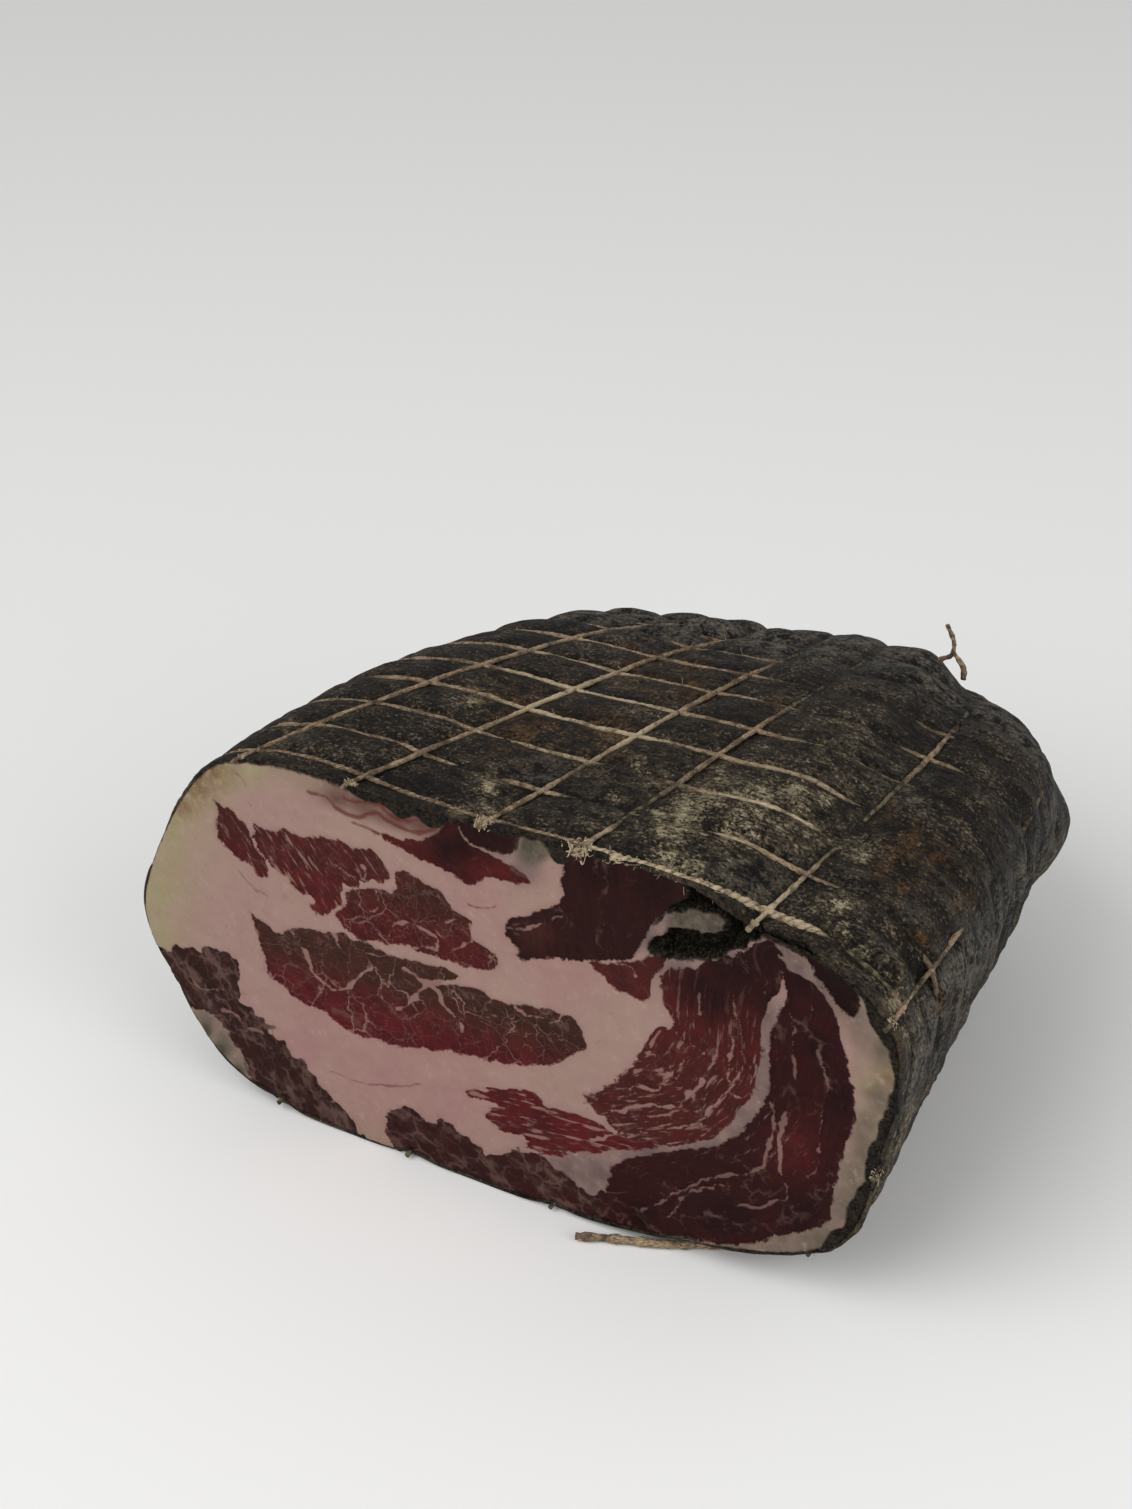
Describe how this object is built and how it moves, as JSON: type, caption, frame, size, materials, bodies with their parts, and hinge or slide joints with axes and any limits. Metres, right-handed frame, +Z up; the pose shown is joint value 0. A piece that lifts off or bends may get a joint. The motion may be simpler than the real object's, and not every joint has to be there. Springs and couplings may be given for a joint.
{
  "type": "cured coppa half",
  "caption": "Half of a cured coppa in twine netting: a flat marbled cut face in front, a dark mouldy rind all round and a gathered, tied end behind.",
  "frame": {"origin": "middle of the bounding box, on the plane the piece rests on", "axes": "+Z up, -Y out of the cut face, +X to the right along the cut face as seen from the front"},
  "size_m": [0.1292, 0.1166, 0.0668],
  "materials": {
    "rind": "dry dark moulded rind, rough and wrinkled",
    "cut_meat": "cut cured pork, dark red lean with pale fat, slightly waxy",
    "twine": "rough hemp twine, dusty"
  },
  "bodies": {
    "root": {"coppa_half": "rind", "twine_netting": "twine"}
  },
  "joints": []
}
